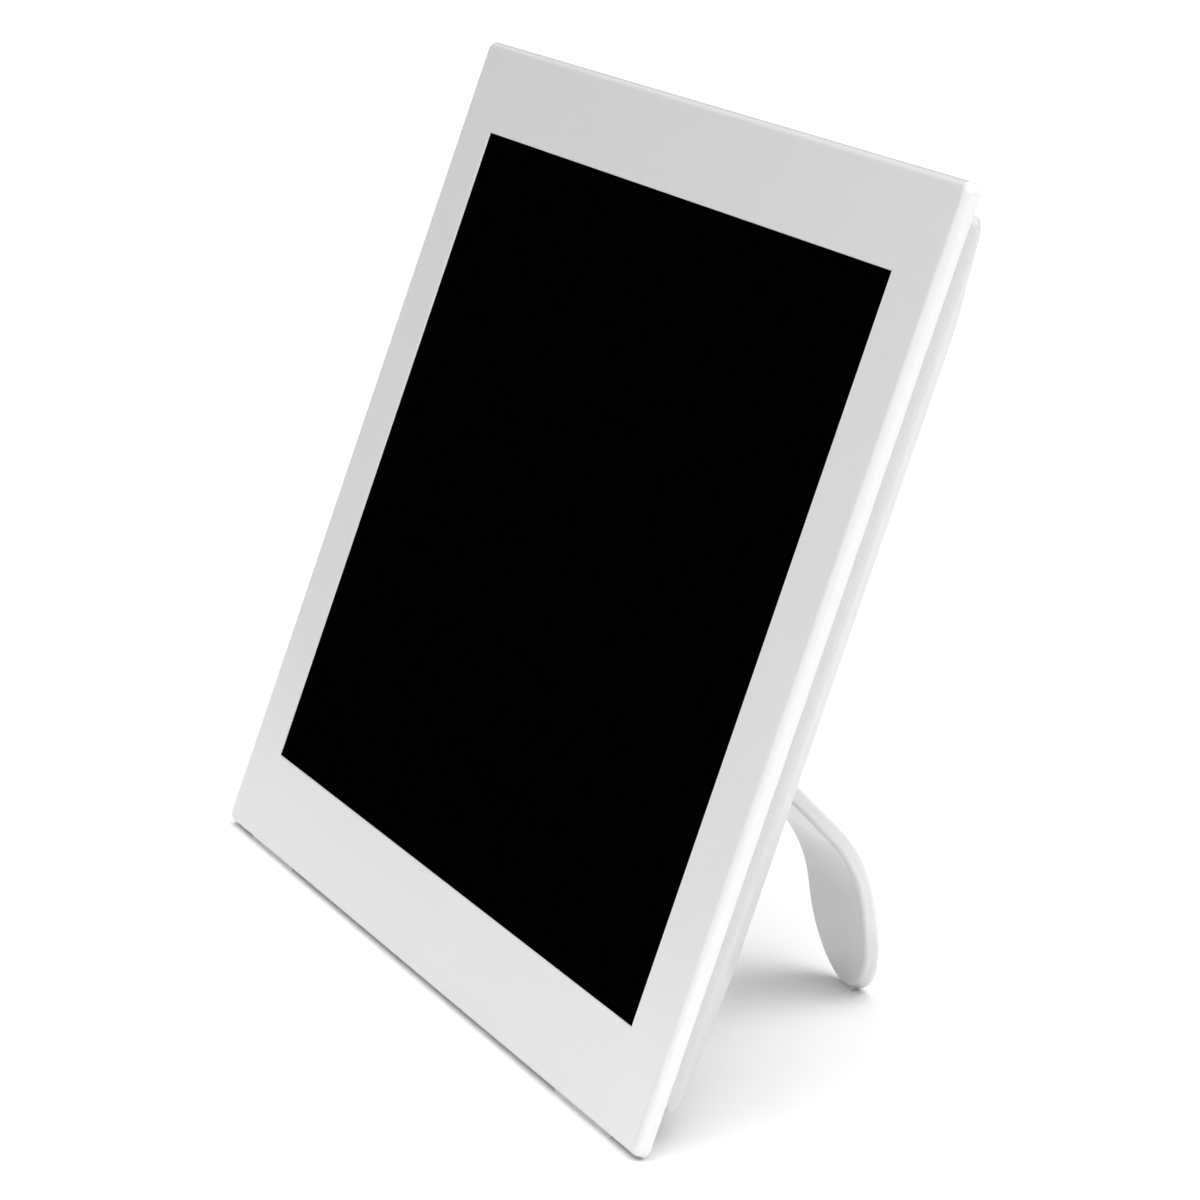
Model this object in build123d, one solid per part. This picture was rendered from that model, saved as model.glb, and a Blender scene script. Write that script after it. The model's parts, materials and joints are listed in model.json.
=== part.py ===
from build123d import *
import os
from math import radians, tan

# Digital photo frame that leans back on a curved swivel leg.
# Everything is modelled upright first: X across, Y is the depth behind the front face, Z is the
# height above the bottom edge of the bezel. The finished pieces are then tilted back together and
# moved so that the origin is the middle of the base of the whole frame's bounding box.
# All dimensions are in millimetres and degrees.

# ---------------------------------------------------------------- driving dimensions
TILT = 20.0                           # how far the screen leans back from upright
ACTIVE_W, ACTIVE_H = 217.0, 135.6     # lit area of a 10.1 inch 16:10 screen
LENS_RIM = 3.0                        # black printed border of the cover lens
BORDER = 19.1                         # bezel showing round the lens
BEZEL_T = 3.0                         # thickness of the bezel plate
BEZEL_CORNER = 2.2                    # corner radius of the plate, seen from the front
BEZEL_EDGE = 1.5                      # rounding of the plate's front edge
COVER_INSET_SIDE = 6.5                # rear cover set back from the bezel's outline
COVER_INSET_TOP = 5.2
COVER_INSET_BOTTOM = 7.4
COVER_CREASE = 8.3                    # depth where the side wall turns into the sloping flank
COVER_BACK = 17.0                     # depth of the flat back
COVER_WALL = 1.8
COVER_CORNER = 2.6                    # corner radius of the cover's outline, seen from the back
FLANK_SIDE, FLANK_TOP, FLANK_BOTTOM = 15.3, 20.0, 23.0   # width of each sloping flank
HUB_X, HUB_Z = 38.0, 74.2             # centre of the leg's swivel
LEG_T = 3.1                           # thickness of the leg's blade
LEG_KNEE = (61.8, 51.2)               # (depth, height) where the blade's two straight runs would meet
LEG_BEND = 27.0                       # radius of the bend at the knee
LEG_EDGE = 1.0                        # rounding of the blade's edges
LEG_NECK, LEG_WIDE = 10.0, 14.3       # half widths of the blade, behind the hub and at the foot
LEG_TIP_DEPTH = 75.0                  # depth of the point where the leg meets the table
LEG_LIFT = 0.15                       # gap between the plastic tip and the table
GROUND_GAP = 0.25                     # rubber showing under the bezel's rear bottom edge

# ---------------------------------------------------------------- worked-out dimensions
LENS_W, LENS_H = ACTIVE_W + 2 * LENS_RIM, ACTIVE_H + 2 * LENS_RIM
BEZEL_W, BEZEL_H = LENS_W + 2 * BORDER, LENS_H + 2 * BORDER
MID_Z = BEZEL_H / 2
COVER_W = BEZEL_W - 2 * COVER_INSET_SIDE
COVER_H = BEZEL_H - COVER_INSET_TOP - COVER_INSET_BOTTOM
COVER_Z = COVER_INSET_BOTTOM + COVER_H / 2
COVER_INSIDE = COVER_BACK - COVER_WALL          # depth of the flat back's inner face
GROUND_SLOPE = tan(radians(TILT))
GROUND_DROP = BEZEL_T * GROUND_SLOPE + GROUND_GAP


def ground_z(depth):
    """Height of the table's surface at a depth, in the upright frame."""
    return depth * GROUND_SLOPE - GROUND_DROP


# Depth stack of the screen, front to back.
LENS_FRONT, LENS_BACK = 0.3, 1.5
LEDGE_FRONT = 1.7
GASKET_T = 0.5
LCD_FRONT = BEZEL_T + GASKET_T
LCD_W, LCD_H, LCD_T = 229.5, 149.0, 3.0
LCD_BACK = LCD_FRONT + LCD_T
LCD_SHEET = 0.3                                  # thickness of the module's steel frame
CHASSIS_FRONT, CHASSIS_BACK = 6.6, 7.4
BOARD_FRONT, BOARD_BACK = 9.0, 10.2

BOSS_X, BOSS_R, PILOT_R = 118.6, 2.2, 1.02       # PILOT_R is the hole that a screw cuts its thread in
COLUMN_R, WELL_R, COVER_SCREW_SEAT = 3.6, 2.5, 7.8
COVER_SCREWS_AT = [(side * BOSS_X, z) for side in (-1, 1) for z in (20.0, 158.0)] + [(0.0, 168.7)]
CHASSIS_SCREWS_AT = [(side * BOSS_X, z) for side in (-1, 1) for z in (44.0, 140.0)]
COVER_BOSS_TOP, CHASSIS_BOSS_TOP = 6.0, 5.0

BAY_X = -102.0                                   # end wall of the port bay
BAY_FLOOR = 9.6
BAY_BOTTOM, BAY_TOP = 52.0, 126.0
PORT_DEPTH = 12.6
COLLAR_REACH = 2.5                               # the headphone socket's collar, through the end wall
DC_Z, AUDIO_Z, USB_Z, CARD_Z = 62.0, 73.0, 84.5, 106.0

BOARD_LEFT, BOARD_RIGHT, BOARD_BOTTOM, BOARD_TOP = -99.8, -12.0, 50.0, 128.0
BOARD_SCREWS_AT = [(x, z) for x in (BOARD_LEFT + 28, BOARD_RIGHT - 4)
                   for z in (BOARD_BOTTOM + 4, BOARD_TOP - 4)]
WIRE_SOCKETS_Z = (62.0, 74.0, 86.0, 98.0)        # sockets on the board's right edge
COIN_X, COIN_Z = -25.0, 108.0
USB_DEPTH, CARD_DEPTH = BOARD_BACK + 1.65, BOARD_BACK + 1.6

BUTTON_X, BUTTON_PITCH, BUTTON_R = 97.0, 12.0, 3.5
BUTTON_NAMES = ["enter_button", "down_button", "up_button", "back_button", "menu_button", "power_button"]
BUTTONS_Z = [84.0 + BUTTON_PITCH * i for i in range(len(BUTTON_NAMES))]
BUTTON_TRAVEL = 0.4

HUB_DISC_R, HUB_RECESS_R, HUB_STEM_R = 20.6, 21.0, 6.0
HUB_FLOOR = 14.6                                 # outer face of the recess's floor
HUB_PAD_FRONT = 12.6                             # inner face of the recess's floor
RETAINER_FRONT, RETAINER_BACK = 11.2, 12.2       # steel washer that holds the hub in the cover
TAB_HALF = 3.0                                   # half width of the washer's stop tab
KEYHOLES_X, KEYHOLE_Z = (-60.0, 60.0), 138.0
KEYHOLE_ENTRY_R, KEYHOLE_SLOT_R, KEYHOLE_RISE = 4.2, 2.2, 9.0
SPEAKERS_X, SPEAKER_Z, SPEAKER_W, SPEAKER_H = (-78.0, 84.0), 40.0, 32.0, 14.0
SPEAKER_FRONT, SPEAKER_REAR = 9.8, 14.4

KEY_BOARD_FRONT, KEY_BOARD_BACK = 8.8, 10.0
SWITCH_TOP, PLUNGER_TOP = 13.3, 13.9
CAP_FOOT = PLUNGER_TOP + BUTTON_TRAVEL + 0.1
KEY_POSTS_Z = (BUTTONS_Z[0] - 9.0, BUTTONS_Z[-1] + 9.0)

CHASSIS_W, CHASSIS_BOTTOM, CHASSIS_TOP = 234.8, 31.0, 153.0
LED_STRIP_H = 2.6
GUIDE_BOTTOM, GUIDE_TOP = MID_Z - ACTIVE_H / 2 - 1.0, MID_Z + ACTIVE_H / 2 + 2.0

CABLE_R = 0.8
SOCKET_FACE, SOCKET_DEPTH = -14.9, BOARD_BACK + 1.7   # where the cables' plugs start
SPEAKER_TAP = SPEAKER_Z + 1.0

GRIPS_X = (-100.0, 100.0)                        # rubber strips in the bezel's bottom edge
GRIP_FRONT, GRIP_BACK, GRIP_LENGTH, GRIP_DEEP = 1.5, 2.7, 30.0, 0.8
PAD_WIDTH, PAD_T, PAD_REACH = 5.0, 1.6, 1.6      # rubber insert in the leg's tip

# The cover's profile as (depth, share of the flank's slope), with its crease and rim eased, and
# its hollow's profile a wall further in.
COVER_PROFILE = [(BEZEL_T, 0.0), (7.3, 0.0), (8.0, 0.012), (8.75, 0.06),
                 (15.6, 0.845), (16.3, 0.93), (16.8, 1.01), (COVER_BACK, 1.10)]
HOLLOW_CREASE = COVER_CREASE - 1.2
HOLLOW_SHARE = (COVER_INSIDE - HOLLOW_CREASE) / (COVER_BACK - COVER_CREASE)
HOLLOW_PROFILE = [(0.0, 0.0), (HOLLOW_CREASE, 0.0), (COVER_INSIDE, HOLLOW_SHARE)]


# ---------------------------------------------------------------- shape helpers
def slab(sketch, front, back):
    """A sketch drawn in (x, height), extruded between two depths."""
    start = Plane(origin=(0, front, 0), x_dir=(1, 0, 0), z_dir=(0, -1, 0))
    return extrude(start * sketch, amount=back - front, dir=(0, 1, 0))


def across(profile, start, length):
    """A profile drawn in (depth, height), extruded along X from a start."""
    return extrude(Plane(origin=(start, 0, 0), x_dir=(0, 1, 0), z_dir=(1, 0, 0)) * profile, amount=length)


def disc(x, z, radius, front, back):
    return slab(Pos(x, z) * Circle(radius), front, back)


def plate(x, z, width, height, front, back, corner=0.0):
    outline = RectangleRounded(width, height, corner) if corner else Rectangle(width, height)
    return slab(Pos(x, z) * outline, front, back)


def ring(x, z, outer, inner, front, back, corner=0.0):
    """A rectangular frame; outer and inner are (width, height)."""
    hole_corner = max(corner - (outer[0] - inner[0]) / 2, 0.0)
    return plate(x, z, *outer, front, back, corner) - plate(x, z, *inner, front, back, hole_corner)


def group(pieces):
    """Separate solids of one kind, kept together in one node."""
    return Part() + list(pieces)


def screw(x, z, seat, tip, shank_r, head_r, head_t):
    """A pan-head screw whose head stands behind the seat and whose shank runs forward to the tip."""
    head = disc(x, z, head_r, seat, seat + head_t)
    head = fillet(head.faces().sort_by(Axis.Y)[-1].edges(), head_t * 0.45)
    slot_l, slot_w, slot_t = head_r * 1.15, head_r * 0.28, head_t * 0.5
    for width, height in ((slot_l, slot_w), (slot_w, slot_l)):
        head -= plate(x, z, width, height, seat + head_t - slot_t, seat + head_t + 1)
    return head + disc(x, z, shank_r, tip, seat)


def cable(name, points, radius):
    """A round cable through hand-chosen points, its corners rounded as widely as the runs allow."""
    points = [Vector(*p) for p in points]
    radii = []
    for before, corner, after in zip(points, points[1:], points[2:]):
        run_in, run_out = corner - before, after - corner
        turn = radians(run_in.get_angle(run_out))
        radii.append(0.45 * min(run_in.length, run_out.length) / tan(turn / 2))
    path = FilletPolyline(*points, radius=radii)
    tube = sweep(Plane(origin=path @ 0, z_dir=path % 0) * Circle(radius), path=path)
    expected = Circle(radius).area * path.length
    print(f"{name}: length {path.length:.1f}, radii {[round(r, 1) for r in radii]}, "
          f"volume {tube.volume:.1f} of {expected:.1f}")
    return tube


# ---------------------------------------------------------------- front bezel and screen
def cover_outline(inset):
    """(width, height, corner) of the rear cover's outline moved in by an inset."""
    return COVER_W - 2 * inset, COVER_H - 2 * inset, COVER_CORNER - inset


def front_bezel():
    bezel = plate(0, MID_Z, BEZEL_W, BEZEL_H, 0, BEZEL_T, BEZEL_CORNER)
    bezel = fillet(bezel.faces().sort_by(Axis.Y)[0].edges(), BEZEL_EDGE)
    bezel = fillet(bezel.faces().sort_by(Axis.Y)[-1].edges(), 0.4)
    bezel -= plate(0, MID_Z, LENS_W + 0.2, LENS_H + 0.2, 0, LEDGE_FRONT)
    bezel -= plate(0, MID_Z, ACTIVE_W + 0.8, ACTIVE_H + 0.8, 0, BEZEL_T)
    window = [e for e in bezel.edges().filter_by_position(Axis.Y, -0.01, 0.01)
              if abs(e.center().X) < LENS_W / 2 + 1 and abs(e.center().Z - MID_Z) < LENS_H / 2 + 1]
    bezel = chamfer(window, 0.25)
    lcd_rib = ring(0, MID_Z, (LCD_W + 3.0, LCD_H + 3.0), (LCD_W + 0.6, LCD_H + 0.6), BEZEL_T, 6.0)
    width, height, corner = cover_outline(COVER_WALL + 0.15)
    lip = ring(0, COVER_Z, (width, height), (width - 2.4, height - 2.4), BEZEL_T, 4.8, corner)
    bezel += lcd_rib + lip
    for places, top in ((COVER_SCREWS_AT, COVER_BOSS_TOP), (CHASSIS_SCREWS_AT, CHASSIS_BOSS_TOP)):
        for x, z in places:
            bezel += disc(x, z, BOSS_R, BEZEL_T, top)
            bezel -= disc(x, z, PILOT_R, 1.6, top)
    for x in GRIPS_X:
        bezel -= grip_block(x, -1.0, -1.0)
    return bezel


def cover_lens():
    return plate(0, MID_Z, LENS_W, LENS_H, LENS_FRONT, LENS_BACK)


def lens_tape():
    outer, inner = (LENS_W - 0.8, LENS_H - 0.8), (ACTIVE_W + 1.6, ACTIVE_H + 1.6)
    return ring(0, MID_Z, outer, inner, LENS_BACK, LEDGE_FRONT)


def lcd_gasket():
    return ring(0, MID_Z, (LCD_W - 1.5, LCD_H - 2.0), (ACTIVE_W + 2.0, ACTIVE_H + 2.0), BEZEL_T, LCD_FRONT)


def lcd_front_frame():
    outer = (LCD_W, LCD_H)
    front = ring(0, MID_Z, outer, (ACTIVE_W + 1.6, ACTIVE_H + 1.6), LCD_FRONT, LCD_FRONT + LCD_SHEET)
    skirt = ring(0, MID_Z, outer, (LCD_W - 2 * LCD_SHEET, LCD_H - 2 * LCD_SHEET), LCD_FRONT, LCD_BACK)
    return front + skirt


def lcd_sheet(width, height, front, back):
    """One layer of the screen module, given as depths behind the module's front."""
    return plate(0, MID_Z, width, height, LCD_FRONT + front, LCD_FRONT + back)


def light_guide():
    guide_h = GUIDE_TOP - GUIDE_BOTTOM
    return plate(0, GUIDE_BOTTOM + guide_h / 2, ACTIVE_W + 6, guide_h, LCD_FRONT + 1.75, LCD_FRONT + 2.35)


def led_strip():
    """Lamp strip along the light guide's bottom edge: a thin board with a row of lamps on it."""
    strip_z = GUIDE_BOTTOM - 0.1 - LED_STRIP_H / 2
    strip = plate(0, strip_z, ACTIVE_W - 2, LED_STRIP_H, LCD_FRONT + 2.1, LCD_FRONT + 2.35)
    lamps = 27
    for i in range(lamps):
        x = (i - (lamps - 1) / 2) * 8.0
        strip += plate(x, strip_z + 0.5, 3.0, 1.4, LCD_FRONT + 1.75, LCD_FRONT + 2.1)
    return strip


def lcd_driver_board():
    return plate(0, 24.2, 150.0, 11.0, CHASSIS_FRONT, CHASSIS_FRONT + 0.8, 0.8)


def lcd_driver_chips():
    back = CHASSIS_FRONT + 0.8
    chips = [plate(x, 24.2, 8.0, 5.0, back, back + 1.0) for x in (-58, -14, 40)]
    chips += [plate(x, 26.0, 2.0, 1.2, back, back + 0.6) for x in (-4, 0, 4, 8, 52, 56, 60, 64)]
    return group(chips)


# ---------------------------------------------------------------- chassis and its fasteners
def chassis_plate():
    """Steel plate that presses the screen into the bezel and carries the main board."""
    height = CHASSIS_TOP - CHASSIS_BOTTOM
    mid = (CHASSIS_TOP + CHASSIS_BOTTOM) / 2
    sheet = plate(0, mid, CHASSIS_W, height, CHASSIS_FRONT, CHASSIS_BACK)
    for x, width in ((-62, 60), (28, 76), (92, 24)):
        sheet -= plate(x, mid, width, height - 50, CHASSIS_FRONT, CHASSIS_BACK, 5)
    gauge = CHASSIS_BACK - CHASSIS_FRONT
    for side in (-1, 1):
        sheet += plate(side * (CHASSIS_W - gauge) / 2, mid, gauge, height, CHASSIS_BOSS_TOP, CHASSIS_BACK)
    for x, z in CHASSIS_SCREWS_AT:
        side = 1 if x > 0 else -1
        tab_w = BOSS_X + 2.4 - (CHASSIS_W / 2 - gauge)
        seat = CHASSIS_BOSS_TOP + gauge
        sheet += plate(side * (BOSS_X + 2.4 - tab_w / 2), z, tab_w, 9, CHASSIS_BOSS_TOP, seat)
        sheet -= disc(x, z, 1.15, 0, seat)
        sheet -= plate(side * (CHASSIS_W - gauge) / 2, z, 4 * gauge, 6.0, seat, CHASSIS_BACK)
    for x, z in BOARD_SCREWS_AT:
        sheet += disc(x, z, 3.6, CHASSIS_FRONT, CHASSIS_BACK)
        sheet += plate(x, mid, 7.2, height, CHASSIS_FRONT, CHASSIS_BACK)
    for x, z in BOARD_SCREWS_AT:
        sheet -= disc(x, z, PILOT_R, CHASSIS_FRONT, CHASSIS_BACK)
    return sheet


def chassis_screws():
    seat = CHASSIS_BOSS_TOP + CHASSIS_BACK - CHASSIS_FRONT
    return group(screw(x, z, seat, 1.8, 1.0, 2.0, 1.2) for x, z in CHASSIS_SCREWS_AT)


def board_standoffs():
    return group(disc(x, z, 2.4, CHASSIS_BACK, BOARD_FRONT) - disc(x, z, PILOT_R, CHASSIS_BACK, BOARD_FRONT)
                 for x, z in BOARD_SCREWS_AT)


def board_screws():
    return group(screw(x, z, BOARD_BACK, CHASSIS_FRONT + 0.1, 1.0, 2.1, 1.3) for x, z in BOARD_SCREWS_AT)


# ---------------------------------------------------------------- main board and what is on it
def main_board():
    mid_x, mid_z = (BOARD_LEFT + BOARD_RIGHT) / 2, (BOARD_BOTTOM + BOARD_TOP) / 2
    width, height = BOARD_RIGHT - BOARD_LEFT, BOARD_TOP - BOARD_BOTTOM
    board = plate(mid_x, mid_z, width, height, BOARD_FRONT, BOARD_BACK, 1.5)
    for x, z in BOARD_SCREWS_AT:
        board -= disc(x, z, 1.15, BOARD_FRONT, BOARD_BACK)
    return board


def on_board(x, z, width, height, thick, corner=0.0):
    """A component lying on the main board's rear face."""
    return plate(x, z, width, height, BOARD_BACK, BOARD_BACK + thick, corner)


def memory_chips():
    working = [on_board(-38, z, 13, 9, 1.1) for z in (86, 100)]
    return group(working + [on_board(-58, 112, 13, 11.5, 1.2)])


def heat_spreader():
    """Finned aluminium block bonded to the processor."""
    top = BOARD_BACK + 1.4
    block = plate(-58, 92, 20, 20, top, top + 2.6)
    fins = 5
    for i in range(fins - 1):
        block -= plate(-58 + (i - (fins - 2) / 2) * 4.0, 92, 2.2, 20, top + 1.0, top + 2.6)
    return block


def power_inductors():
    coils = []
    for x, z in ((-62, 57), (-53.5, 57), (-53.5, 65)):
        coil = on_board(x, z, 6, 6, 2.8, 1.5)
        coils.append(chamfer(coil.faces().sort_by(Axis.Y)[-1].edges(), 0.4))
    return group(coils)


def capacitors():
    cans = []
    for x, z in ((-70, 66), (-62.5, 66), (-40, 63), (-24, 118)):
        base = on_board(x, z, 5.2, 5.2, 0.5)
        can = disc(x, z, 2.4, BOARD_BACK + 0.5, BOARD_BACK + 4.3)
        can = fillet(can.faces().sort_by(Axis.Y)[-1].edges(), 0.4)
        cans.append(base + can)
    return group(cans)


def wifi_module():
    base = on_board(-38, 117, 12, 14, 0.8)
    can = plate(-38, 116.2, 10.8, 11.6, BOARD_BACK + 0.8, BOARD_BACK + 2.4, 0.6)
    return base + can


def wire_sockets():
    """Small plug-in sockets along the board's right edge, for the cables."""
    sockets = []
    for z in WIRE_SOCKETS_Z:
        body = plate(-18.0, z, 6.0, 7.0, BOARD_BACK, BOARD_BACK + 3.4)
        sockets.append(body - plate(-15.6, z, 4.0, 5.4, BOARD_BACK + 0.7, BOARD_BACK + 2.7))
    return group(sockets)


def flex_connector():
    return on_board(-36, 53.2, 24, 4.4, 1.6)


def coin_cell():
    return disc(COIN_X, COIN_Z, 5.0, BOARD_BACK + 0.6, BOARD_BACK + 2.6)


def coin_cell_holder():
    body = disc(COIN_X, COIN_Z, 6.2, BOARD_BACK, BOARD_BACK + 2.2)
    body -= disc(COIN_X, COIN_Z, 5.1, BOARD_BACK + 0.6, BOARD_BACK + 2.2)
    bridge = plate(COIN_X, COIN_Z, 3.0, 12.4, BOARD_BACK + 2.7, BOARD_BACK + 3.0)
    legs = [plate(COIN_X, COIN_Z + side * 5.9, 3.0, 0.6, BOARD_BACK + 2.0, BOARD_BACK + 3.0)
            for side in (-1, 1)]
    return body + bridge + legs


# ---------------------------------------------------------------- sockets in the port bay
def socket_body(z, height, length, thick):
    """A socket on the board's left edge, its mouth against the bay's end wall."""
    return plate(BOARD_LEFT + length / 2, z, length, height, BOARD_BACK, BOARD_BACK + thick, 0.3)


def along_x(z, depth, radius, start, end):
    """A round bar parallel to X at a height and depth."""
    from_base = (Align.CENTER, Align.CENTER, Align.MIN)
    return Pos(start, depth, z) * Rot(Y=90) * Cylinder(radius, end - start, align=from_base)


def dc_jack():
    body = socket_body(DC_Z, 8.0, 12.0, 4.8)
    body -= along_x(DC_Z, PORT_DEPTH, 1.9, BOARD_LEFT, BOARD_LEFT + 9.5)
    return body + along_x(DC_Z, PORT_DEPTH, 0.65, BOARD_LEFT + 0.8, BOARD_LEFT + 9.5)


def audio_jack():
    """Headphone socket whose round collar passes through the bay's end wall."""
    mouth = BOARD_LEFT - COLLAR_REACH
    body = socket_body(AUDIO_Z, 7.0, 14.0, 4.8) + along_x(AUDIO_Z, PORT_DEPTH, 2.4, mouth, BOARD_LEFT + 1)
    return body - along_x(AUDIO_Z, PORT_DEPTH, 1.8, mouth, BOARD_LEFT + 13.0)


def port_slot(z, depth, width, thick, corner, start, end):
    """A flat rounded slot running along X."""
    return across(Pos(depth, z) * RectangleRounded(thick, width, corner), start, end - start)


def usb_port():
    shell = port_slot(USB_Z, USB_DEPTH, 9.0, 3.2, 1.5, BOARD_LEFT, BOARD_LEFT + 7.5)
    shell -= port_slot(USB_Z, USB_DEPTH, 8.4, 2.6, 1.2, BOARD_LEFT, BOARD_LEFT + 6.5)
    return shell + port_slot(USB_Z, USB_DEPTH, 6.7, 0.7, 0.2, BOARD_LEFT + 0.6, BOARD_LEFT + 6.5)


def card_slot():
    body = socket_body(CARD_Z, 28.0, 26.0, 3.0)
    return body - port_slot(CARD_Z, CARD_DEPTH, 24.4, 2.2, 0.3, BOARD_LEFT, BOARD_LEFT + 24.0)


# ---------------------------------------------------------------- keys
def key_board():
    length, mid_z = KEY_POSTS_Z[1] - KEY_POSTS_Z[0] + 7.0, (BUTTONS_Z[0] + BUTTONS_Z[-1]) / 2
    board = plate(BUTTON_X, mid_z, 10.0, length, KEY_BOARD_FRONT, KEY_BOARD_BACK, 1.0)
    for z in KEY_POSTS_Z:
        board -= disc(BUTTON_X, z, 1.15, KEY_BOARD_FRONT, KEY_BOARD_BACK)
    return board


def key_screws():
    screws = []
    for z in KEY_POSTS_Z:
        body = disc(BUTTON_X, z, 1.9, KEY_BOARD_FRONT - 1.1, KEY_BOARD_FRONT)
        screws.append(body + disc(BUTTON_X, z, 1.0, KEY_BOARD_FRONT, 14.0))
    return group(screws)


def key_switches():
    switches = []
    for z in BUTTONS_Z:
        body = plate(BUTTON_X, z, 6.0, 6.0, KEY_BOARD_BACK, SWITCH_TOP, 0.4)
        switches.append(body + disc(BUTTON_X, z, 1.7, SWITCH_TOP, PLUNGER_TOP))
    return group(switches)


def button(z, radius, proud):
    """A button cap: a crowned top in the cover's hole, a flange behind it and a short stem."""
    top = COVER_BACK + proud
    cap = disc(BUTTON_X, z, radius, CAP_FOOT + 0.2, top)
    cap = fillet(cap.faces().sort_by(Axis.Y)[-1].edges(), 0.5)
    flange = disc(BUTTON_X, z, radius + 0.7, CAP_FOOT, COVER_INSIDE - 0.15)
    return cap + flange


# ---------------------------------------------------------------- sound, radio and cables
def speaker(x):
    box = plate(x, SPEAKER_Z, SPEAKER_W, SPEAKER_H, SPEAKER_FRONT, SPEAKER_REAR - 0.6, 2.0)
    rim = slab(Pos(x, SPEAKER_Z) * SlotOverall(26.0, 12.0), SPEAKER_REAR - 0.6, SPEAKER_REAR)
    rim -= slab(Pos(x, SPEAKER_Z) * SlotOverall(23.0, 9.0), SPEAKER_REAR - 0.5, SPEAKER_REAR)
    dome = slab(Pos(x, SPEAKER_Z) * SlotOverall(15.0, 5.0), SPEAKER_REAR - 0.6, SPEAKER_REAR - 0.1)
    return box + rim + dome


def speaker_gaskets():
    outline = SlotOverall(26.0, 12.0) - SlotOverall(23.0, 9.0)
    return group(slab(Pos(x, SPEAKER_Z) * outline, SPEAKER_REAR, COVER_INSIDE) for x in SPEAKERS_X)


def wifi_antenna():
    return plate(-20.0, 146.0, 34.0, 7.0, COVER_INSIDE - 0.4, COVER_INSIDE, 1.0)


def backlight_cable():
    """From the lowest socket down to the screen's driver board."""
    route = [(SOCKET_FACE, SOCKET_DEPTH, 62), (-9.5, 11.6, 61.3), (-5.5, 10.4, 57.5), (-3.5, 9.0, 50),
             (-2, 8.6, 41), (2, 8.6, 33.5), (9, 8.6, 28.7), (17, 8.5, 26.4)]
    return cable("backlight_cable", route, 0.7)


def left_speaker_cable():
    route = [(SOCKET_FACE, SOCKET_DEPTH, 74), (-9.6, 12.5, 73.2), (-6.5, 13.4, 68), (-7, 13.6, 60),
             (-9, 13.6, 52), (-14, 13.6, 46.5), (-23, 13.5, 43), (-34, 13.2, 41.8), (-45, 12.6, 41.2),
             (-54, 12.0, 40.9),
             (SPEAKERS_X[0] + SPEAKER_W / 2 + 0.05, 11.6, SPEAKER_TAP)]
    return cable("left_speaker_cable", route, CABLE_R)


def right_speaker_cable():
    route = [(SOCKET_FACE, SOCKET_DEPTH, 86), (-8, 11.6, 85.4), (-1, 10.4, 82), (4.5, 9.2, 75), (9, 8.7, 66),
             (15, 8.6, 57), (24, 8.6, 49), (35, 8.7, 44), (46, 9.0, 41.8), (54.5, 10.2, 41.1),
             (61.5, 11.1, 40.9),
             (SPEAKERS_X[1] - SPEAKER_W / 2 - 0.05, 11.6, SPEAKER_TAP)]
    return cable("right_speaker_cable", route, CABLE_R)


def key_cable():
    route = [(SOCKET_FACE, SOCKET_DEPTH, 98), (-7.5, 11.7, 98.6), (1, 10.4, 101), (9, 9.2, 105.5),
             (20, 8.7, 109.5), (34, 8.6, 111.5), (50, 8.6, 111), (66, 8.9, 109.5), (78, 10.2, 108.5),
             (85, 11.2, 108.2),
             (BUTTON_X - 5.1, 11.4, 108)]
    return cable("key_cable", route, 1.1)


def antenna_cable():
    start = (-38.0, BOARD_BACK + 3.0, 122.8)
    route = [start, (-37.0, 13.4, 127.5), (-33.5, 13.6, 132.0), (-28.0, 13.8, 135.5), (-23.5, 14.2, 139.0),
             (-21.0, 14.35, 142.3)]
    return cable("antenna_cable", route, 0.45)


def display_flex():
    """Flat printed ribbon from the screen's driver board up to the main board."""
    width, thick = 20.0, 0.2
    side = FilletPolyline((7.5, 26.5), (7.5, 30.5), (8.0, 35.0), (8.0, 42.5), (12.0, 47.0), (12.0, 53.0),
                          radius=1.6)
    return across(trace(side, line_width=thick), -46, width)


# ---------------------------------------------------------------- rear cover
def cover_block(profile, inset):
    """A block with the cover's outline, moved in by an inset and following a profile of flanks."""
    width, height, corner = cover_outline(inset)
    sections = []
    for depth, share in profile:
        top, bottom = FLANK_TOP * share, FLANK_BOTTOM * share
        outline = RectangleRounded(width - 2 * FLANK_SIDE * share, height - top - bottom, corner)
        at_depth = Plane(origin=(0, depth, 0), x_dir=(1, 0, 0), z_dir=(0, -1, 0))
        sections.append(at_depth * (Pos(0, COVER_Z + (bottom - top) / 2) * outline))
    return loft(sections, ruled=True)


def keyhole(x, front, back):
    """A round entry below a narrow slot."""
    entry = disc(x, KEYHOLE_Z, KEYHOLE_ENTRY_R, front, back)
    slot = plate(x, KEYHOLE_Z + KEYHOLE_RISE / 2, 2 * KEYHOLE_SLOT_R, KEYHOLE_RISE, front, back)
    return entry + slot + disc(x, KEYHOLE_Z + KEYHOLE_RISE, KEYHOLE_SLOT_R, front, back)


def keyhole_pocket(x, front, back, margin):
    """The closed pocket behind a keyhole, wide enough for a screw's head all the way up."""
    radius = KEYHOLE_ENTRY_R + margin
    middle = plate(x, KEYHOLE_Z + KEYHOLE_RISE / 2, 2 * radius, KEYHOLE_RISE, front, back)
    ends = [disc(x, z, radius, front, back) for z in (KEYHOLE_Z, KEYHOLE_Z + KEYHOLE_RISE)]
    return middle + ends


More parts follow.
